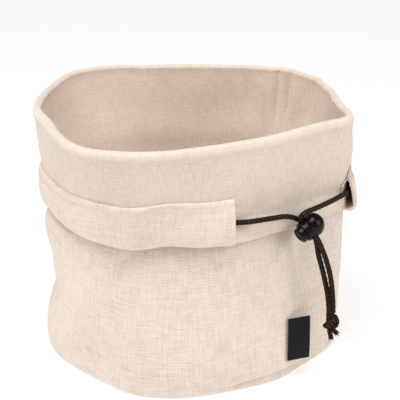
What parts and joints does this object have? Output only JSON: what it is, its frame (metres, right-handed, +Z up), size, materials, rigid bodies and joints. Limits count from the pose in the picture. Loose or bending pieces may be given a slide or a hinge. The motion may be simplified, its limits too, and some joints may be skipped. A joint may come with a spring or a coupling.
{
  "type": "bread bag",
  "caption": "Round canvas drawstring bag standing open, its top folded out as a cuff, with a braided cord, a ball cord lock and a label in the side seam.",
  "frame": {"origin": "on the floor, at the middle of the base's underside", "axes": "+Z up from the base to the rim, -Y towards the bag's front, +X to the right, where the cord lock hangs"},
  "size_m": [0.1855, 0.1749, 0.142],
  "materials": {
    "canvas": "unbleached plain-weave canvas",
    "cord": "dark brown braided cord",
    "black_plastic": "polished moulding",
    "woven_label": "black satin-woven ribbon"
  },
  "bodies": {
    "bag": {"wall": "canvas", "base": "canvas", "casing": "canvas", "cord_inside": "cord", "cord_left": "cord", "cord_right": "cord", "knot": "cord", "lock_ball": "black_plastic", "label": "woven_label"},
    "plunger": {"lock_plunger": "black_plastic"}
  },
  "joints": [
    {"name": "plunger_press", "type": "slide", "parent": "bag", "child": "plunger", "axis": [0.7338, 0.4579, 0.5019], "range_m": [0, 0.0016], "stiffness_N_per_m": 400}
  ]
}
